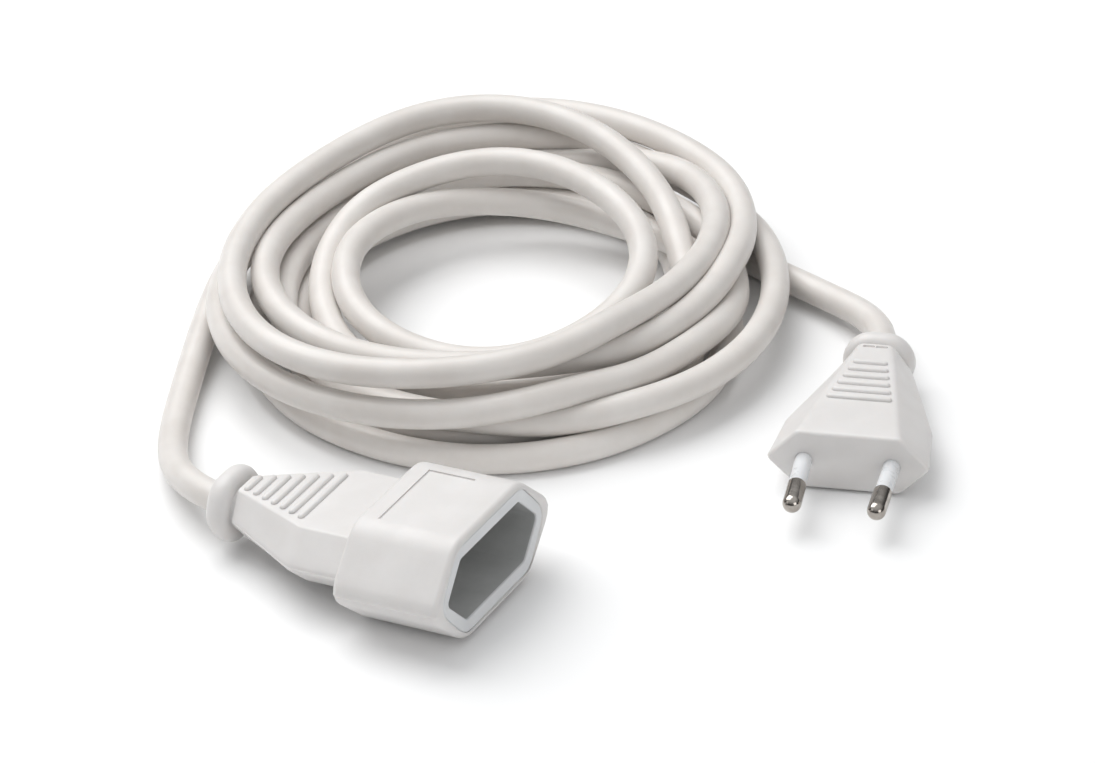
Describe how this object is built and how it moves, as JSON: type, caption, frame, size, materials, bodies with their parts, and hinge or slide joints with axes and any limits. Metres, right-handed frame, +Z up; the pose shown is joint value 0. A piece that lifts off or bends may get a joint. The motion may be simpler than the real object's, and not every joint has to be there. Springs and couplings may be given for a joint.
{
  "type": "extension cord",
  "caption": "Indoor extension cord with a flat moulded plug, a loosely coiled round cord and a six-sided coupler socket for flat plugs.",
  "frame": {"origin": "on the floor below the middle of the socket as it lies", "axes": "+X along the socket towards its mouth, +Y to its left seen from behind, +Z up; the coil and the plug lie on the +Y side"},
  "size_m": [0.1854, 0.1943, 0.0241],
  "materials": {
    "white_moulding": "satin off-white moulded PVC",
    "hard_insert": "satin pale grey thermoplastic",
    "cord_sheath": "satin warm white PVC",
    "pin_metal": "nickel-plated brass, polished",
    "pin_sleeve": "white nylon",
    "contact_brass": "plain brass",
    "core_brown": "brown PVC insulation",
    "core_blue": "blue PVC insulation",
    "copper_strands": "bare stranded copper"
  },
  "bodies": {
    "root": {"socket_body": "white_moulding", "socket_insert": "hard_insert", "socket_insert_cap": "hard_insert", "socket_contact_line": "contact_brass", "socket_contact_neutral": "contact_brass", "socket_core_brown": "core_brown", "socket_core_blue": "core_blue", "socket_strands_brown": "copper_strands", "socket_strands_blue": "copper_strands", "socket_cord_end": "cord_sheath", "plug_body": "white_moulding", "plug_pin_carrier": "hard_insert", "plug_pin_line": "pin_metal", "plug_pin_neutral": "pin_metal", "plug_sleeve_line": "pin_sleeve", "plug_sleeve_neutral": "pin_sleeve", "plug_core_brown": "core_brown", "plug_core_blue": "core_blue", "plug_strands_brown": "copper_strands", "plug_strands_blue": "copper_strands", "plug_cord_end": "cord_sheath", "cord_lead_socket": "cord_sheath", "cord_coil": "cord_sheath", "cord_lead_plug": "cord_sheath"}
  },
  "joints": []
}
